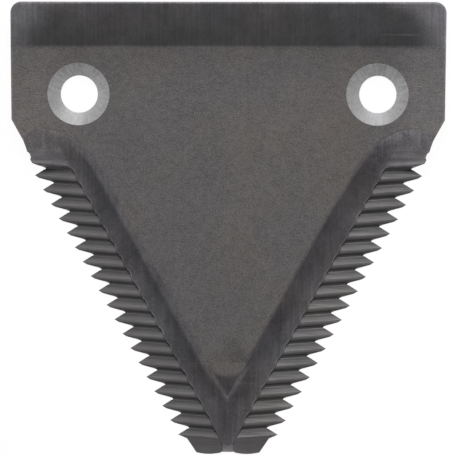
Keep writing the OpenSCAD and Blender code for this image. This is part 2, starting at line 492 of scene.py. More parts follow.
def gridPoints(start, step, counts, first=0):
    return [(start[0] + step[0] * i, start[1] + step[1] * j)
            for i in range(first, counts[0]) for j in range(counts[1])]


def samplePoints():
    spots = [tuple(fromEdge(*place)) for grid in edgeGrids for place in gridPoints(**grid)]
    spots += [place for grid in plainGrids for place in gridPoints(**grid)]
    return [p for p in spots if p[0] > meshing["midGap"]]


def isInside(x, y, loop):
    inside = False
    for (ax, ay), (bx, by) in zip(loop, loop[1:] + loop[:1]):
        if (ay > y) != (by > y) and x < ax + (y - ay) / (by - ay) * (bx - ax):
            inside = not inside
    return inside


def triangulate(coords, links, fits, thinnest=0):
    points, _, triangles, *_ = delaunay_2d_cdt(coords, links, [], 0, meshing["hair"])
    kept = []
    for triangle in triangles:
        a, b, c = (points[i] for i in triangle)
        if fits((a + b + c) / 3) and abs((b - a).cross(c - a)) >= thinnest * (b - a).length_squared:
            kept.append(triangle)
    return points, kept


faceNames = ["flat", "bevel", "back", "nose", "sink", "stripEnd", "edge", "under"]


def blankMesh():
    outline = wholeOutline()
    holes, rims = [], []
    for x in (sink["spacing"] / 2, -sink["spacing"] / 2):
        holes.append(arcPoints(x, 0, sink["holeRadius"], 0, 2 * math.pi, sink["segments"])[:-1])
        rims.append(arcPoints(x, 0, sink["radius"], 0, 2 * math.pi, sink["segments"]))
    lines = featureLines()
    lines += [mirrored(line) for line in lines]
    half = samplePoints()

    def isMetal(p):
        fromHole = math.hypot(abs(p.x) - sink["spacing"] / 2, p.y)
        return fromHole > sink["holeRadius"] * sink["edgeShare"] and isInside(p.x, p.y, outline)

    coords, links = [], []
    for line in [loop + loop[:1] for loop in [outline] + holes] + lines + rims:
        start = len(coords)
        coords += [Vector(p) for p in line]
        links += [(start + i, start + i + 1) for i in range(len(line) - 1)]
    coords += [Vector(p) for p in half + mirrored(half)]
    points, triangles = triangulate(coords, links, isMetal)
    mesh = bmesh.new()
    zone = mesh.faces.layers.int.new("zone")
    topSide = mesh.verts.layers.float.new("topSide")
    serrated = mesh.faces.layers.bool.new("serrated")
    top = {}
    for triangle in triangles:
        for i in triangle:
            if i not in top:
                z, _ = groundHeight(*points[i])
                top[i] = mesh.verts.new((points[i].x * mm, points[i].y * mm, z * mm))
                top[i][topSide] = 1
        face = mesh.faces.new([top[i] for i in triangle])
        middle = sum((points[i] for i in triangle), Vector((0, 0))) / 3
        face[zone] = faceNames.index(groundHeight(*middle)[1])
        inset, along = edgeCoords(*middle)
        below = grooveAcross(inset, along) < -serration["landWidth"]
        face[serrated] = below and inset < marginWidth + stepShift(along) and abs(middle.x) > stripHalf

    # walls down to the underside, then the underside itself
    rim = [e for e in mesh.edges if e.is_boundary]
    base = {}
    for edge in rim:
        for v in edge.verts:
            if v not in base:
                base[v] = mesh.verts.new((v.co.x, v.co.y, 0))
    links = []
    order = {v: i for i, v in enumerate(base)}
    for edge in rim:
        a, b = edge.verts
        wall = mesh.faces.new([a, b, base[b], base[a]])
        wall[zone] = faceNames.index("edge")
        links.append((order[a], order[b]))
    flatPoints = [Vector((v.co.x / mm, v.co.y / mm)) for v in base]
    bottom = list(base.values())
    for triangle in triangulate(flatPoints, links, isMetal, meshing["hair"])[1]:
        face = mesh.faces.new([bottom[i] for i in triangle])
        face[zone] = faceNames.index("under")
    bmesh.ops.recalc_face_normals(mesh, faces=mesh.faces)
    made = bpy.data.meshes.new("sickleBlank")
    mesh.to_mesh(made)
    mesh.free()
    print("blank:", len(made.vertices), "points,", len(made.polygons), "faces")
    return made


def feed(tree, slot, value):  # links a socket, or sets a plain value or a colour
    if isinstance(value, bpy.types.NodeSocket):
        tree.links.new(value, slot)
    elif isinstance(value, tuple):
        slot.default_value = (*value, 1)
    else:
        slot.default_value = value


def calcIn(tree):  # math nodes written as calls
    def calc(operation, *values):
        node = tree.nodes.new("ShaderNodeMath")
        node.operation = operation
        for slot, value in zip(node.inputs, values):
            feed(tree, slot, value)
        return node.outputs[0]
    return calc


def serrationTree(material):
    tree = bpy.data.node_groups.new("cutSerration", "GeometryNodeTree")
    tree.interface.new_socket("Geometry", in_out="INPUT", socket_type="NodeSocketGeometry")
    tree.interface.new_socket("Geometry", in_out="OUTPUT", socket_type="NodeSocketGeometry")
    values = {
        "Teeth": serration["teeth"],
        "Groove Pitch": groovePitch * mm,
        "Groove Turn": grooveTurn,
        "Groove Depth": grooveDepth * mm,
        "Edge Angle": edgeAngle,
        "Heel Tip X": heelTip.x * mm,
        "Heel Tip Y": heelTip.y * mm,
        "Margin Width": marginWidth * mm,
        "Wall Width": serration["wallWidth"] * mm,
        "Bite": serration["bite"] * mm,
        "Bite Skew": serration["biteSkew"],
        "Margin Slope": marginSlope,
        "Tip Thickness": serration["tipThickness"] * mm,
        "Crest Width": serration["landWidth"] * mm,
        "Crest Fall": serration["landFall"] * mm,
        "Floor Start": floorStart * mm,
        "Floor Width": serration["floorWidth"] * mm,
        "Floor Rise": serration["floorRise"] * mm,
        "First Wall": serration["wallSlope"],
        "Lobe Fall": nose["lobeFall"] * mm,
        "Lobe Slope": nose["lobeSlope"],
        "Strip Half": (stripHalf - serration["wallWidth"] / 2) * mm,
        "Weld": meshing["weld"] * mm,
    }
    for name in values:
        tree.interface.new_socket(name, in_out="INPUT", socket_type="NodeSocketFloat")
    given = tree.nodes.new("NodeGroupInput").outputs
    calc = calcIn(tree)

    def minus(value):
        return calc("MULTIPLY", value, -1)

    def pick(test, yes, no):
        node = tree.nodes.new("GeometryNodeSwitch")
        node.input_type = "FLOAT"
        for slot, value in zip(node.inputs, (test, no, yes)):
            feed(tree, slot, value)
        return node.outputs[0]

    def stored(name, kind):
        node = tree.nodes.new("GeometryNodeInputNamedAttribute")
        node.data_type = kind
        node.inputs["Name"].default_value = name
        return node.outputs["Attribute"]

    place = tree.nodes.new("ShaderNodeSeparateXYZ")
    tree.links.new(tree.nodes.new("GeometryNodeInputPosition").outputs[0], place.inputs[0])
    x, y, z = place.outputs
    side = calc("ABSOLUTE", x)
    dx = calc("SUBTRACT", side, given["Heel Tip X"])
    dy = calc("SUBTRACT", y, given["Heel Tip Y"])
    edgeSin, edgeCos = calc("SINE", given["Edge Angle"]), calc("COSINE", given["Edge Angle"])
    inset = calc("SUBTRACT", calc("MULTIPLY", dy, edgeSin), calc("MULTIPLY", dx, edgeCos))
    along = calc("ADD", calc("MULTIPLY", dx, edgeSin), calc("MULTIPLY", dy, edgeCos))
    turnSin, turnCos = calc("SINE", given["Groove Turn"]), calc("COSINE", given["Groove Turn"])
    fallCos = calc("COSINE", calc("ARCTANGENT", given["Margin Slope"]))
    lean = calc("DIVIDE", calc("MULTIPLY", inset, turnSin), fallCos)
    down = minus(calc("ADD", lean, calc("MULTIPLY", along, turnCos)))
    count = calc("FLOOR", calc("DIVIDE", down, given["Groove Pitch"]))
    count = calc("MINIMUM", calc("MAXIMUM", count, 0), given["Teeth"])
    part = calc("SUBTRACT", down, calc("MULTIPLY", count, given["Groove Pitch"]))

    # profile of one groove, from its crest down
    ledge = calc("SUBTRACT", given["Floor Rise"], given["Groove Depth"])
    crest = calc("MULTIPLY", part, minus(given["Crest Fall"]))
    crest = calc("DIVIDE", crest, given["Crest Width"])
    wallRun = calc("SUBTRACT", given["Floor Start"], given["Crest Width"])
    wallSlope = calc("DIVIDE", calc("ADD", ledge, given["Crest Fall"]), wallRun)
    pastCrest = calc("SUBTRACT", part, given["Crest Width"])
    wall = calc("SUBTRACT", calc("MULTIPLY", pastCrest, wallSlope), given["Crest Fall"])
    firstWall = calc("MULTIPLY", calc("SUBTRACT", given["Floor Start"], part), given["First Wall"])
    firstWall = calc("ADD", firstWall, ledge)
    isFirst = calc("LESS_THAN", count, 0.5)
    wall = pick(isFirst, firstWall, calc("MINIMUM", crest, wall))
    floorHalf = calc("MULTIPLY", given["Floor Width"], 0.5)
    fromFloor = calc("SUBTRACT", part, calc("ADD", given["Floor Start"], floorHalf))
    bowl = calc("POWER", calc("DIVIDE", fromFloor, floorHalf), 2)
    bowl = calc("SUBTRACT", calc("MULTIPLY", bowl, given["Floor Rise"]), given["Groove Depth"])
    faceRun = calc("SUBTRACT", given["Groove Pitch"], given["Floor Start"])
    faceRun = calc("SUBTRACT", faceRun, given["Floor Width"])
    toCrest = calc("SUBTRACT", given["Groove Pitch"], part)
    face = calc("DIVIDE", calc("MULTIPLY", toCrest, ledge), faceRun)
    height = pick(calc("LESS_THAN", fromFloor, 0), wall, face)
    height = pick(calc("LESS_THAN", calc("ABSOLUTE", fromFloor), floorHalf), bowl, height)

    # the lobes, past the last groove
    lobeFloor = minus(calc("ADD", given["Crest Fall"], given["Lobe Fall"]))
    lobe = calc("MULTIPLY", pastCrest, minus(given["Lobe Slope"]))
    lobe = calc("MINIMUM", crest, calc("SUBTRACT", lobe, given["Crest Fall"]))
    isLobe = calc("GREATER_THAN", count, calc("SUBTRACT", given["Teeth"], 0.5))
    height = pick(isLobe, calc("MAXIMUM", lobe, lobeFloor), height)

    margin = calc("ADD", given["Tip Thickness"], calc("MULTIPLY", inset, given["Margin Slope"]))
    tooth = calc("ADD", margin, calc("DIVIDE", height, fallCos))
    newZ = calc("MAXIMUM", calc("MINIMUM", z, tooth), 0)

    # the step, which each groove pushes a little way into the bevel
    stepLean = calc("DIVIDE", calc("MULTIPLY", given["Margin Width"], turnSin), fallCos)
    stepDown = calc("ADD", stepLean, calc("MULTIPLY", along, turnCos))
    stepDown = calc("DIVIDE", stepDown, minus(given["Groove Pitch"]))
    isGroove = calc("LESS_THAN", stepDown, calc("SUBTRACT", given["Teeth"], 1))
    isGroove = calc("MULTIPLY", isGroove, calc("GREATER_THAN", stepDown, 0))
    swell = calc("POWER", calc("FRACT", stepDown), given["Bite Skew"])
    swell = calc("SINE", calc("MULTIPLY", swell, math.pi))
    bite = calc("MULTIPLY", calc("MULTIPLY", swell, given["Bite"]), isGroove)
    step = calc("ADD", given["Margin Width"], calc("MULTIPLY", given["Wall Width"], 0.5))
    isMargin = calc("LESS_THAN", inset, calc("ADD", step, bite))
    isMargin = calc("MULTIPLY", stored("topSide", "FLOAT"), isMargin)
    isMargin = calc("MULTIPLY", isMargin, calc("GREATER_THAN", side, given["Strip Half"]))

    target = tree.nodes.new("ShaderNodeCombineXYZ")
    for slot, value in zip(target.inputs, (x, y, newZ)):
        tree.links.new(value, slot)
    cut = tree.nodes.new("GeometryNodeSetPosition")
    tree.links.new(given["Geometry"], cut.inputs["Geometry"])
    tree.links.new(isMargin, cut.inputs["Selection"])
    tree.links.new(target.outputs[0], cut.inputs["Position"])
    joined = tree.nodes.new("GeometryNodeMergeByDistance")  # gullets come down to the underside
    tree.links.new(cut.outputs[0], joined.inputs["Geometry"])
    tree.links.new(given["Weld"], joined.inputs["Distance"])
    real = tree.nodes.new("GeometryNodeRealizeInstances")
    tree.links.new(joined.outputs[0], real.inputs[0])
    coat = tree.nodes.new("GeometryNodeSetMaterial")
    coat.inputs["Material"].default_value = material
    tree.links.new(real.outputs[0], coat.inputs["Geometry"])
    tree.links.new(stored("serrated", "BOOLEAN"), coat.inputs["Selection"])
    tree.links.new(coat.outputs[0], tree.nodes.new("NodeGroupOutput").inputs[0])
    return tree, values


def bakeNodes(obj, tree, values):  # runs the tree once and keeps a plain mesh
    modifier = obj.modifiers.new("serration", "NODES")
    modifier.node_group = tree
    for socket in tree.interface.items_tree:
        if socket.in_out == "INPUT" and socket.name in values:
            modifier[socket.identifier] = float(values[socket.name])
    bpy.context.view_layer.update()
    made = bpy.data.meshes.new_from_object(obj.evaluated_get(bpy.context.evaluated_depsgraph_get()))
    obj.modifiers.remove(modifier)
    obj.data = made
    return made


def shadeByFaces(mesh):  # smooth within a face, sharp where two faces meet
    for polygon in mesh.polygons:
        polygon.use_smooth = True
    mesh.set_sharp_from_angle(angle=meshing["sharpAngle"])
    zones = [z.value for z in mesh.attributes["zone"].data]
    cut = [c.value for c in mesh.attributes["serrated"].data]
    around = {}
    for polygon in mesh.polygons:
        for key in polygon.edge_keys:
            around.setdefault(key, set()).add((zones[polygon.index], cut[polygon.index]))
    roundedEdge = {(faceNames.index("flat"), False), (faceNames.index("bevel"), False)}
    for edge in mesh.edges:
        meeting = around.get(edge.key, set())
        ends = [mesh.vertices[v].co for v in edge.vertices]
        onRidge = all(abs(end.x) < meshing["snug"] * mm for end in ends) and ends[0].y < nose["flatEndY"] * mm
        if meeting == roundedEdge:
            edge.use_edge_sharp = False
        elif onRidge or len(meeting) > 1:
            edge.use_edge_sharp = True


# how light each spot of the top is against plain steel: partly its finish, partly painted light and shade
finishAndPaintedLight = {
    "flat": 0.95, "flatTop": 0.82, "heelLeft": 1.14, "heelRight": 1.28, "rim": 1.9, "backRim": 0.8,
    "backInner": 0.185, "backOuter": 0.375, "backLine": 0.5, "backFlat": 0.7, "backEnds": 1.0,
    "bevelOuter": 0.97, "bevelMid": 0.6, "bevelInner": 1.2, "runout": 1.4,
    "heelTopLeft": 1.2, "heelTopRight": 1.6, "heelLine": 2.2, "heelShade": 0.5,
    "firstGroove": 1.7, "rightHeel": 0.84, "rightPoint": 0.94, "lobe": 1.12, "lip": 1.9, "wall": 1.3,
    "nose": 0.5, "noseLine": 1.1, "ridge": 1.3, "stripTop": 2.0, "stripEnd": 3.6,
}
# where a change of look starts and how wide it is; a width below 0 runs the other way
fade = {
    "flatTop": (0, 8), "heel": (27, 8), "backEnds": (32.5, 8),
    "runout": (0, 5), "dark": (0, 12), "darkWidth": (-20, 12), "rightShort": (-10, 14),
    "bevelInner": (nose["flatEndY"] + 2, -4), "heelTop": (-9.2, 2.6), "heelShade": (-0.15, -0.3),
    "firstGroove": (1.3, 0.4), "rightTeeth": (-20, -10), "lobe": (0, 0.5),
    "ridgeTop": (apexY + 1, -1.5), "ridgeEnd": (apexY - 1, -3), "ridgeSide": (2, 2),
    "noseLine": (nose["flatEndY"], 3), "rim": (plate["backY"], -plate["cornerRadius"]),
    "dragStart": (-0.8, 0.4), "dragEnd": (1.6, 1), "dragSide": (marginWidth, 1.5),
    "bevelGrain": (-bevel["runoutLength"], bevel["runoutLength"]),
}
# how much of the steel's grain is left on each face
grainLeft = {
    "flat": 1, "back": 0.6, "nose": 0.6, "sink": 0.5, "stripEnd": 0.5, "edge": 0.5, "under": 0.5,
    "bevelLow": 0.6, "dragLoss": 0.7,
}


def blend(a, b, share):
    share = max(0, min(1, share))
    return a + (b - a) * share * share * (3 - 2 * share)


def faded(a, b, name, value):
    start, width = fade[name]
    return blend(a, b, (value - start) / width)


def nearV(x, y):  # 1 on the painted highlight line beside the nose, 0 away from it
    if y > sum(fade["noseLine"]):
        return 0
    near = max(0, 1 - distanceTo(noseLine, x, y) / nose["vWidth"])
    return near * faded(1, 0, "noseLine", y)


def groundShare(x, inset, beyond):  # 0 on the flat's tone, 1 on the bevel's ground and painted-shade tone
    short = bevel["leftShort"]
    if x >= 0:
        short = faded(-bevel["rightOver"], bevel["heelShort"], "rightShort", beyond)
    return (creaseInset(beyond) - inset - short) / bevel["softEdge"] + 0.5


def toothTone(x, y, inset, along):
    down = -grooveAcross(inset, along)
    tooth = min(int(max(0, down + meshing["snug"]) / groovePitch), serration["teeth"])
    place = max(0, down - tooth * groovePitch)
    if tooth == serration["teeth"]:
        return faded(crestTone, finishAndPaintedLight["lobe"], "lobe", place)
    pairs = zip(toneSteps, toneSteps[1:])
    (a, toneA), (b, toneB) = next(p for p in pairs if place <= p[1][0] + meshing["snug"])
    tone = toneA + (toneB - toneA) * max(0, min(1, (place - a) / (b - a)))
    # painted light lifts the first groove's crest, wall and floor against its deeper shadow
    if tooth == 0:
        tone *= faded(finishAndPaintedLight["firstGroove"], 1, "firstGroove", place)
    return tone * (faded(finishAndPaintedLight["rightHeel"], finishAndPaintedLight["rightPoint"], "rightTeeth", y) if x > 0 else 1)


def bevelTone(x, y, inset, along):
    beyond = along + bevel["runoutLength"]
    # painted light: the run-out lightened, as it slopes away from the lamp
    outer = faded(finishAndPaintedLight["bevelOuter"], finishAndPaintedLight["runout"], "runout", beyond)
    # partly the ground finish, partly painted shade: a dark band beside the crease, narrower and fainter
    # towards the heel
    darkWidth = faded(bevel["darkWidth"], bevel["darkWidthHeel"], "darkWidth", along)
    dark = (bevel["darkReach"] - creaseInset(beyond) + inset) / darkWidth
    dark = max(0, min(1, dark)) * faded(1, bevel["darkShareHeel"], "dark", beyond)
    outer += (finishAndPaintedLight["bevelMid"] - outer) * dark
    # painted light: lighter where the bevel meets the flat, dark towards the nose
    inner = faded(finishAndPaintedLight["bevelInner"], finishAndPaintedLight["bevelMid"], "bevelInner", y)
    tone = blend(inner, outer, groundShare(x, inset, beyond))
    # painted light: the top of the run-out at the heel lightened, more on the right
    tone *= faded(1, finishAndPaintedLight["heelTopRight" if x > 0 else "heelTopLeft"], "heelTop", y)
    ridge = faded(0, 1, "ridgeTop", y) * faded(1, 0, "ridgeEnd", y) * faded(1, 0, "ridgeSide", abs(x))
    tone *= 1 + (finishAndPaintedLight["ridge"] - 1) * ridge
    # painted highlight line beside the nose
    tone += (finishAndPaintedLight["noseLine"] - tone) * nearV(x, y)
    # painted highlight line above the first groove, with painted shade below it
    if inset < marginWidth:
        across = grooveAcross(inset, along)
        offLine = abs(across - serration["heelLine"]) / serration["heelLineWidth"]
        shade = faded(1, finishAndPaintedLight["heelShade"], "heelShade", across)
        return blend(tone, finishAndPaintedLight["heelLine"], 1 - offLine) * shade
    shift = stepShift(along)
    # painted highlight: the step's wall and lip lightened into a bright lip, most where the groove bites
    # furthest
    if abs(inset - marginWidth - shift - serration["wallWidth"] / 2) < serration["wallWidth"]:
        return blend(finishAndPaintedLight["wall"], finishAndPaintedLight["lip"], shift / serration["bite"])
    return tone


def toneAt(face, serrated, x, y):
    if face == "under":
        return finishAndPaintedLight["flat"]
    inset, along = edgeCoords(x, y)
    if serrated:
        return toothTone(x, y, inset, along)
    if face == "bevel":
        return bevelTone(x, y, inset, along)
    fromBack = y - plate["backY"] + backBevel["width"]
    outward = abs(x) + backBevel["endCurve"] * fromBack ** 2
    # partly the ground finish, partly a painted dark reflection: the back bevel darkest next to the flat,
    # lighter towards the back edge and its ends
    if face == "back":
        tone = blend(finishAndPaintedLight["backInner"], finishAndPaintedLight["backOuter"], fromBack / backBevel["width"])
        tone = blend(finishAndPaintedLight["backLine"], tone, fromBack / backBevel["softEdge"])
        return faded(tone, finishAndPaintedLight["backEnds"], "backEnds", outward)
    # partly a bright ground finish, partly painted highlight: the chamfer at the strip's end lightened, most
    # at its foot
    if face == "stripEnd":
        return blend(finishAndPaintedLight["stripTop"], finishAndPaintedLight["stripEnd"], (notchY - y) / nose["chamfer"] + 1)
    pastEnd = (math.hypot(x, y - flatEndMid) - flatEndRadius) / nose["softEdge"]
    # partly the ground finish, partly painted shade: the nose darkened, with a painted highlight line along
    # it
    if face == "nose":
        tone = blend(finishAndPaintedLight["flat"], finishAndPaintedLight["nose"], (pastEnd + 1) / 2)
        return tone + (finishAndPaintedLight["noseLine"] - tone) * nearV(x, y)
    # painted light: the flat lightened towards the heel sides, more on the right
    tone = faded(finishAndPaintedLight["flat"], finishAndPaintedLight["heelRight" if x > 0 else "heelLeft"], "heel", abs(x))
    tone *= faded(1, finishAndPaintedLight["flatTop"], "flatTop", y)
    # the nose's darker tone, partly painted shade, fades in across the round end of the flat
    if isNoseSide(x, y):
        return blend(tone, finishAndPaintedLight["nose"], (pastEnd + 1) / 2)
    beyond = along + bevel["runoutLength"]
    # on the right the bevel's dark tone, partly painted shade, runs over onto the flat
    if x > 0 and beyond < bevel["overEnd"]:
        tone = blend(tone, finishAndPaintedLight["bevelMid"], groundShare(x, inset, beyond))
    # painted shade: the flat darkened next to the back bevel, less towards its ends
    line = faded(finishAndPaintedLight["backFlat"], finishAndPaintedLight["backEnds"], "backEnds", outward)
    return blend(tone, line, fromBack / backBevel["softEdge"] + 1)


def dragAt(inset, along):  # 1 where the first groove's tool was dragged across the heel
    across = grooveAcross(inset, along)
    return faded(0, 1, "dragStart", across) * faded(1, 0, "dragEnd", across) * faded(1, 0, "dragSide", inset)


def storeFinishAndPaintedLight(mesh):  # kept per corner, so that it can change sharply at a crease
    tone = mesh.attributes.new("tone", "FLOAT", "CORNER")
    grain = mesh.attributes.new("grain", "FLOAT", "CORNER")
    drag = mesh.attributes.new("drag", "FLOAT", "CORNER")
    zones, cut = mesh.attributes["zone"].data, mesh.attributes["serrated"].data
    places = [(v.co.x / mm, v.co.y / mm) for v in mesh.vertices]
    rims = [rollShare(x, y) for x, y in places]
    for polygon in mesh.polygons:
        face = faceNames[zones[polygon.index].value]
        serrated = cut[polygon.index].value
        for loop in polygon.loop_indices:
            vertex = mesh.loops[loop].vertex_index
            x, y = places[vertex]
            inset, along = edgeCoords(x, y)
            rim = rims[vertex] if face in ("flat", "bevel", "back") and not serrated else 0
            # painted highlight along the rolled edge, weaker along the back
            roundedEdge = faded(finishAndPaintedLight["backRim"], finishAndPaintedLight["rim"], "rim", y)
            dragged = dragAt(inset, along)
            if face == "bevel":
                left = faded(grainLeft["bevelLow"], 1, "bevelGrain", along)
                left *= 1 - grainLeft["dragLoss"] * dragged
            else:
                left = grainLeft[face]
            tone.data[loop].value = blend(toneAt(face, serrated, x, y), roundedEdge, rim)
            grain.data[loop].value = left
            drag.data[loop].value = dragged


# materials
noiseRange = (0.3, 0.7)  # where most of a noise lies


def newMaterial(name, metallic=0, specular=0.5):
    material = bpy.data.materials.new(name)
    material.use_nodes = True
    shader = material.node_tree.nodes["Principled BSDF"]
    shader.inputs["Metallic"].default_value = metallic
    shader.inputs["Specular IOR Level"].default_value = specular
    return material, material.node_tree, shader


def newGroup(name, inputs, outputs):
    tree = bpy.data.node_groups.new(name, "ShaderNodeTree")
    for label, kind in inputs.items():
        tree.interface.new_socket(label, in_out="INPUT", socket_type="NodeSocket" + kind)
    for label, kind in outputs.items():
        tree.interface.new_socket(label, in_out="OUTPUT", socket_type="NodeSocket" + kind)
    return tree, tree.nodes.new("NodeGroupInput").outputs, tree.nodes.new("NodeGroupOutput").inputs


def useGroup(tree, group, values):
    node = tree.nodes.new("ShaderNodeGroup")
    node.node_tree = group
    for label, value in values.items():
        feed(tree, node.inputs[label], value)
    return node.outputs


def noiseIn(tree, vector, scale, detail=2, roughness=0.5, stretch=(1, 1, 1), turn=0):
    mapping = tree.nodes.new("ShaderNodeMapping")
    mapping.inputs["Scale"].default_value = stretch
    mapping.inputs["Rotation"].default_value = (0, 0, turn)
    tree.links.new(vector, mapping.inputs["Vector"])
    noise = tree.nodes.new("ShaderNodeTexNoise")
    noise.inputs["Scale"].default_value = scale
    noise.inputs["Detail"].default_value = detail
    noise.inputs["Roughness"].default_value = roughness
    tree.links.new(mapping.outputs[0], noise.inputs["Vector"])
    return noise.outputs["Fac"]


def spread(tree, value, source, target=(0, 1)):
    node = tree.nodes.new("ShaderNodeMapRange")
    labels = ("From Min", "From Max", "To Min", "To Max")
    for label, end in zip(labels, (*source, *target)):
        node.inputs[label].default_value = end
    tree.links.new(value, node.inputs["Value"])
    return node.outputs["Result"]


def mixColour(tree, share, a, b, mode="MIX"):
    node = tree.nodes.new("ShaderNodeMix")
    node.data_type = "RGBA"
    node.blend_type = mode
    for slot, value in zip((node.inputs["Factor"], node.inputs[6], node.inputs[7]), (share, a, b)):
        feed(tree, slot, value)
    return node.outputs[2]


def mixValues(calc, a, b, share):  # share of a, the rest of b
    return calc("ADD", calc("MULTIPLY", a, share), calc("MULTIPLY", b, 1 - share))


def pushBy(calc, noise, amount):  # a noise as a push up or down
    return calc("MULTIPLY", calc("SUBTRACT", noise, 0.5), amount)


def objectPlace(tree):
    return tree.nodes.new("ShaderNodeTexCoord").outputs["Object"]


def readStored(tree, name):
    node = tree.nodes.new("ShaderNodeAttribute")
    node.attribute_name = name
    return node.outputs["Fac"]


def addBump(tree, shader, height, strength, depth):
    bump = tree.nodes.new("ShaderNodeBump")
    bump.inputs["Strength"].default_value = strength
    bump.inputs["Distance"].default_value = depth * mm
    tree.links.new(height, bump.inputs["Height"])
    tree.links.new(bump.outputs[0], shader.inputs["Normal"])


grainLook = {
    "fine": {"scale": 4600, "detail": 2, "roughness": 0.6},
    "coarse": {"scale": 1250, "detail": 3, "roughness": 0.6},
    "pits": (0.34, 0.5),
    "fineSpeckle": 0.75,  # share of the fine noise in the colour and in the relief
    "fineHeight": 0.6,
}


def grainGroup():  # fine pitted grain of hardened plate
    tree, given, out = newGroup("steelGrain", {"Vector": "Vector"}, {"Speckle": "Float", "Height": "Float"})
    calc = calcIn(tree)
    fine = noiseIn(tree, given["Vector"], **grainLook["fine"])
    coarse = noiseIn(tree, given["Vector"], **grainLook["coarse"])
    pits = spread(tree, coarse, grainLook["pits"])
    tree.links.new(mixValues(calc, fine, coarse, grainLook["fineSpeckle"]), out["Speckle"])
    tree.links.new(mixValues(calc, fine, pits, grainLook["fineHeight"]), out["Height"])
    return tree


stainLook = {
    "warm": {"scale": 70, "detail": 4, "roughness": 0.65},
    "warmRange": (0.42, 0.72),
    "cloud": {"scale": 160, "detail": 5, "roughness": 0.7},
}


def stainGroup():  # broad warm and dark patches left by hardening and oil
    tree, given, out = newGroup("heatStain", {"Vector": "Vector"}, {"Warmth": "Float", "Cloud": "Float"})
    warm = noiseIn(tree, given["Vector"], **stainLook["warm"])
    tree.links.new(spread(tree, warm, stainLook["warmRange"]), out["Warmth"])
    tree.links.new(noiseIn(tree, given["Vector"], **stainLook["cloud"]), out["Cloud"])
    return tree


def shadeGroup():  # a colour made lighter or darker by one value
    tree, given, out = newGroup("toneShade", {"Colour": "Color", "Tone": "Float"}, {"Colour": "Color"})
    grey = tree.nodes.new("ShaderNodeCombineColor")
    for slot in grey.inputs:
        tree.links.new(given["Tone"], slot)
    tree.links.new(mixColour(tree, 1.0, given["Colour"], grey.outputs[0], "MULTIPLY"), out["Colour"])
    return tree


steelGrain = grainGroup()
heatStain = stainGroup()
toneShade = shadeGroup()

scratchLook = {
    "ways": ((0.03, 260), (1.52, 210), (0.7, 180)),  # direction, and scale across it
    "hair": {"detail": 1, "roughness": 0.4, "stretch": (0.22, 9, 1)},
    "hairRange": (0.74, 0.8),
    "patch": {"scale": 75, "detail": 2, "roughness": 0.5},
    "patchTurn": 2,
    "patchRange": (0.52, 0.6),
}


def scratchesIn(tree, place):  # a few short bright scratches, across and along
    calc = calcIn(tree)
    found = 0
    for turn, scale in scratchLook["ways"]:
        hair = noiseIn(tree, place, scale=scale, turn=turn, **scratchLook["hair"])
        patch = noiseIn(tree, place, turn=turn + scratchLook["patchTurn"], **scratchLook["patch"])
        hair = spread(tree, hair, scratchLook["hairRange"])
        hair = calc("MULTIPLY", hair, spread(tree, patch, scratchLook["patchRange"]))
        found = calc("MAXIMUM", found, hair)
    return found


def colourSteel(tree, shader, look, warmth, tone):  # plain or warm steel, shaded by the tone
    base = mixColour(tree, warmth, look["plain"], look["warm"])
    shade = useGroup(tree, toneShade, {"Colour": base, "Tone": tone})
    tree.links.new(shade["Colour"], shader.inputs["Base Color"])


flatLook = {
    "plain": (0.106, 0.1, 0.1025), "warm": (0.115, 0.102, 0.094),
    "roughness": 0.6, "bump": 0.5, "mottle": 0.35,
}
groundLook = {
    "plain": (0.104, 0.1, 0.109), "warm": (0.113, 0.101, 0.099),
    "roughness": 0.42, "bump": 0.2, "mottle": 1.6, "scratches": 0.22,
}
plateLook = {
    "warmth": 0.8,
    "speckle": 2.5,
    "polish": 0.08,  # roughness lost on the light specks and gained on the dark
    "metallic": 0.3,
    "specular": 0.25,
    "bumpDepth": 0.06,
    "wheelMarks": {"scale": 420, "detail": 3, "roughness": 0.6, "stretch": (5, 0.2, 1)},
    "dragMarks": {"scale": 420, "detail": 3, "roughness": 0.6, "stretch": (0.15, 5, 1)},
    "dragSource": (0.35, 0.65),
    "dragRange": (0.15, 0.85),
    "markRange": (0.82, 1.18),
}


def plateSteel(name, look):
    material, tree, shader = newMaterial(name, plateLook["metallic"], plateLook["specular"])
    calc = calcIn(tree)
    place = objectPlace(tree)
    grain = useGroup(tree, steelGrain, {"Vector": place})
    stain = useGroup(tree, heatStain, {"Vector": place})
    amount = readStored(tree, "grain")
    speck = pushBy(calc, grain["Speckle"], calc("MULTIPLY", amount, plateLook["speckle"]))
    cloud = pushBy(calc, stain["Cloud"], look["mottle"])
    tone = calc("MULTIPLY", readStored(tree, "tone"), calc("ADD", calc("ADD", speck, cloud), 1))
    if "scratches" in look:  # and wheel marks, on the ground faces
        tone = calc("ADD", tone, calc("MULTIPLY", scratchesIn(tree, place), look["scratches"]))
        wheel = noiseIn(tree, place, **plateLook["wheelMarks"])
        dragged = noiseIn(tree, place, **plateLook["dragMarks"])
        dragged = spread(tree, dragged, plateLook["dragSource"], plateLook["dragRange"])
        change = calc("MULTIPLY", calc("SUBTRACT", dragged, wheel), readStored(tree, "drag"))
        marks = spread(tree, calc("ADD", wheel, change), noiseRange, plateLook["markRange"])
        tone = calc("MULTIPLY", tone, marks)
    colourSteel(tree, shader, look, calc("MULTIPLY", stain["Warmth"], plateLook["warmth"]), tone)
    rough = (look["roughness"] + plateLook["polish"], look["roughness"] - plateLook["polish"])
    tree.links.new(spread(tree, grain["Speckle"], noiseRange, rough), shader.inputs["Roughness"])
    relief = calc("MULTIPLY", grain["Height"], amount)
    addBump(tree, shader, relief, look["bump"], plateLook["bumpDepth"])
    return material


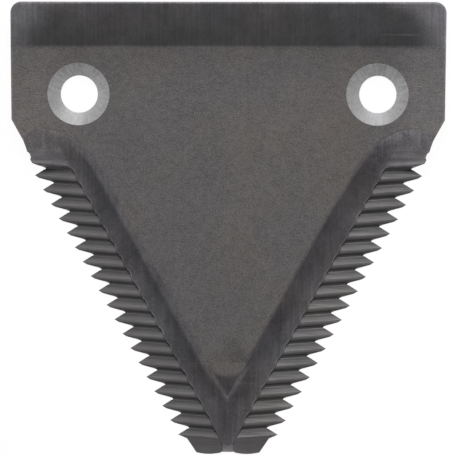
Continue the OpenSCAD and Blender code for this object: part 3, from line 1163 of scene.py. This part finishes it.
marginLook = {
    "plain": (0.105, 0.101, 0.104), "warm": (0.115, 0.104, 0.095),
    "warmth": 0.5,
    "lines": {
        "scale": 900, "detail": 3, "roughness": 0.6, "stretch": (0.12, 4, 1), "turn": serration["tilt"],
    },
    "streak": 0.7,
    "mottle": 0.6,
    "roughness": (0.52, 0.38),
    "bump": 0.25,
    "bumpDepth": 0.03,
}


def marginMaterial(look):  # rolled serration, with fine lines along the grooves
    material, tree, shader = newMaterial("marginSteel", plateLook["metallic"], plateLook["specular"])
    calc = calcIn(tree)
    place = objectPlace(tree)
    lines = noiseIn(tree, place, **look["lines"])
    stain = useGroup(tree, heatStain, {"Vector": place})
    streak = pushBy(calc, lines, look["streak"])
    cloud = pushBy(calc, stain["Cloud"], look["mottle"])
    tone = calc("MULTIPLY", readStored(tree, "tone"), calc("ADD", calc("ADD", streak, cloud), 1))
    colourSteel(tree, shader, look, calc("MULTIPLY", stain["Warmth"], look["warmth"]), tone)
    tree.links.new(spread(tree, lines, noiseRange, look["roughness"]), shader.inputs["Roughness"])
    addBump(tree, shader, lines, look["bump"], look["bumpDepth"])
    return material


boredLook = {
    "dull": (0.4, 0.396, 0.408), "bright": (0.7, 0.694, 0.7),
    "chatter": {"scale": 9, "detail": 3, "roughness": 0.6, "stretch": (1, 1, 3)},
    "rings": {"scale": 6, "detail": 2, "roughness": 0.5, "stretch": (0.4, 14, 3)},
    "ringScale": 60,
    "chatterShare": 0.7,
    "paintedSheen": 0.2,  # painted sheen, lighter on two opposite sides of each countersink
    "paintedLampSide": 0.1,  # and painted light, a little more on the side towards the point
    "brightRange": (0.08, 1.08),
    "roughness": (0.5, 0.4),
    "bump": 0.3,
    "bumpDepth": 0.04,
}


def boredMaterial(look):  # bare metal of the countersinks, with chatter marks
    material, tree, shader = newMaterial("boredSteel", metallic=1)
    calc = calcIn(tree)
    split = tree.nodes.new("ShaderNodeSeparateXYZ")
    tree.links.new(objectPlace(tree), split.inputs[0])
    x, y, _ = split.outputs
    dx = calc("SUBTRACT", calc("ABSOLUTE", x), sink["spacing"] / 2 * mm)
    angle = calc("ARCTAN2", y, dx)
    radius = calc("SQRT", calc("ADD", calc("MULTIPLY", dx, dx), calc("MULTIPLY", y, y)))
    ring = tree.nodes.new("ShaderNodeCombineXYZ")
    ringPlace = (angle, calc("MULTIPLY", radius, look["ringScale"]), calc("SIGN", x))
    for slot, value in zip(ring.inputs, ringPlace):
        tree.links.new(value, slot)
    chatter = noiseIn(tree, ring.outputs[0], **look["chatter"])
    rings = noiseIn(tree, ring.outputs[0], **look["rings"])
    mark = mixValues(calc, chatter, rings, look["chatterShare"])
    # painted sheen and light on the countersink's cone, set by the angle round the hole
    paintedSheen = calc("MULTIPLY", calc("COSINE", calc("MULTIPLY", angle, 2)), look["paintedSheen"])
    paintedSheen = calc("SUBTRACT", paintedSheen, calc("MULTIPLY", calc("SINE", angle), look["paintedLampSide"]))
    bright = calc("ADD", spread(tree, mark, noiseRange, look["brightRange"]), paintedSheen)
    tree.links.new(mixColour(tree, bright, look["dull"], look["bright"]), shader.inputs["Base Color"])
    tree.links.new(spread(tree, mark, noiseRange, look["roughness"]), shader.inputs["Roughness"])
    addBump(tree, shader, mark, look["bump"], look["bumpDepth"])
    return material


edgeLook = {
    "low": (0.085, 0.08, 0.08), "high": (0.15, 0.145, 0.145), "torn": (0.06, 0.055, 0.052),
    "shear": (0.9, 1.3),  # height at which the burnished part begins
    "tear": {"scale": 700, "detail": 4, "roughness": 0.6, "stretch": (1, 1, 0.15)},
    "tornShare": 0.5,
    "roughness": (0.4, 0.62),
    "metallic": 0.6,
    "bump": 0.5,
    "bumpDepth": 0.08,
}


def edgeMaterial(look):  # sheared sides: burnished above, torn below
    material, tree, shader = newMaterial("edgeSteel", look["metallic"])
    calc = calcIn(tree)
    place = objectPlace(tree)
    torn = noiseIn(tree, place, **look["tear"])
    height = tree.nodes.new("ShaderNodeSeparateXYZ")
    tree.links.new(place, height.inputs[0])
    shear = spread(tree, height.outputs[2], [z * mm for z in look["shear"]])
    base = mixColour(tree, shear, look["low"], look["high"])
    colour = mixColour(tree, calc("MULTIPLY", torn, look["tornShare"]), base, look["torn"])
    tree.links.new(colour, shader.inputs["Base Color"])
    tree.links.new(spread(tree, torn, noiseRange, look["roughness"]), shader.inputs["Roughness"])
    addBump(tree, shader, torn, look["bump"], look["bumpDepth"])
    return material


flatSteel = plateSteel("flatSteel", flatLook)
groundSteel = plateSteel("groundSteel", groundLook)
marginSteel = marginMaterial(marginLook)
boredSteel = boredMaterial(boredLook)
edgeSteel = edgeMaterial(edgeLook)
print("materials:", len(bpy.data.materials))

faceMaterials = {
    "flat": flatSteel, "bevel": groundSteel, "back": groundSteel, "nose": groundSteel,
    "sink": boredSteel, "stripEnd": groundSteel, "edge": edgeSteel, "under": flatSteel,
}


def sickleSection():
    mesh = blankMesh()
    slots = list(dict.fromkeys(faceMaterials.values()))
    for material in slots:
        mesh.materials.append(material)
    for polygon, zone in zip(mesh.polygons, mesh.attributes["zone"].data):
        polygon.material_index = slots.index(faceMaterials[faceNames[zone.value]])
    piece = bpy.data.objects.new("sickleSection", mesh)
    bpy.context.scene.collection.objects.link(piece)
    made = bakeNodes(piece, *serrationTree(marginSteel))
    made.name = "sickleSection"
    shadeByFaces(made)
    storeFinishAndPaintedLight(made)
    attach(piece, "root")
    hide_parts("sickle_section")
    print("section:", len(made.vertices), "points,", len(made.polygons), "faces")


sickleSection()


# stage, in metres
light = {"energy": 6.7, "size": 0.45, "place": (0.05, 0.5, 0.55), "aim": (0, -0.02, 0), "fill": 0.29}
world = bpy.data.worlds.new("room")
bpy.context.scene.world = world
world.use_nodes = True
world.node_tree.nodes["Background"].inputs["Color"].default_value = (1, 1, 1, 1)
world.node_tree.nodes["Background"].inputs["Strength"].default_value = light["fill"]

keyData = bpy.data.lights.new("keyLight", "AREA")
keyData.size = light["size"]
keyData.energy = light["energy"]
key = bpy.data.objects.new("keyLight", keyData)
key.location = light["place"]
key.rotation_euler = (Vector(light["aim"]) - key.location).to_track_quat("-Z", "Y").to_euler()
bpy.context.scene.collection.objects.link(key)

floorLook = {"half": 2, "z": -1e-5, "colour": (0.9, 0.9, 0.9), "roughness": 1, "glow": 0.96}
half = floorLook["half"]
floorCorners = [(x * half, y * half, floorLook["z"]) for x, y in ((-1, -1), (1, -1), (1, 1), (-1, 1))]
floorMesh = bpy.data.meshes.new("floor")
floorMesh.from_pydata(floorCorners, [], [range(4)])
floor = bpy.data.objects.new("floor", floorMesh)
bpy.context.scene.collection.objects.link(floor)
floorMaterial, tree, shader = newMaterial("whiteFloor")
feed(tree, shader.inputs["Base Color"], floorLook["colour"])
feed(tree, shader.inputs["Roughness"], floorLook["roughness"])
glow = tree.nodes.new("ShaderNodeEmission")
mixed = tree.nodes.new("ShaderNodeMixShader")
path = tree.nodes.new("ShaderNodeLightPath")
calc = calcIn(tree)
seen = calc("MAXIMUM", path.outputs["Is Camera Ray"], path.outputs["Is Glossy Ray"])
seen = calc("MAXIMUM", seen, path.outputs["Is Transmission Ray"])
tree.links.new(calc("MULTIPLY", seen, floorLook["glow"]), mixed.inputs[0])
tree.links.new(shader.outputs[0], mixed.inputs[1])
tree.links.new(glow.outputs[0], mixed.inputs[2])
tree.links.new(mixed.outputs[0], tree.nodes["Material Output"].inputs["Surface"])
floorMesh.materials.append(floorMaterial)

view = {
    "target": (-0.00002, -0.0232, 0.0028),
    "distance": 1.5,
    "leanX": math.radians(2.5),
    "leanY": math.radians(0.8),
    "roll": math.radians(-0.1),
    "lens": 681.6,
    "sensor": 36,
    "clipStart": 0.01,
}
cameraData = bpy.data.cameras.new("camera")
cameraData.lens = view["lens"]
cameraData.sensor_width = view["sensor"]
cameraData.clip_start = view["clipStart"]
camera = bpy.data.objects.new("camera", cameraData)
back = Vector((math.tan(view["leanX"]), math.tan(view["leanY"]), 1)).normalized()
right = Vector((math.sin(view["roll"]), math.cos(view["roll"]), 0)).cross(back).normalized()
up = back.cross(right)
place = Vector(view["target"]) + back * view["distance"]
camera.matrix_world = Matrix.Translation(place) @ Matrix((right, up, back)).transposed().to_4x4()
bpy.context.scene.collection.objects.link(camera)
bpy.context.scene.camera = camera
bpy.context.scene.view_settings.view_transform = "Standard"
print("stage set")
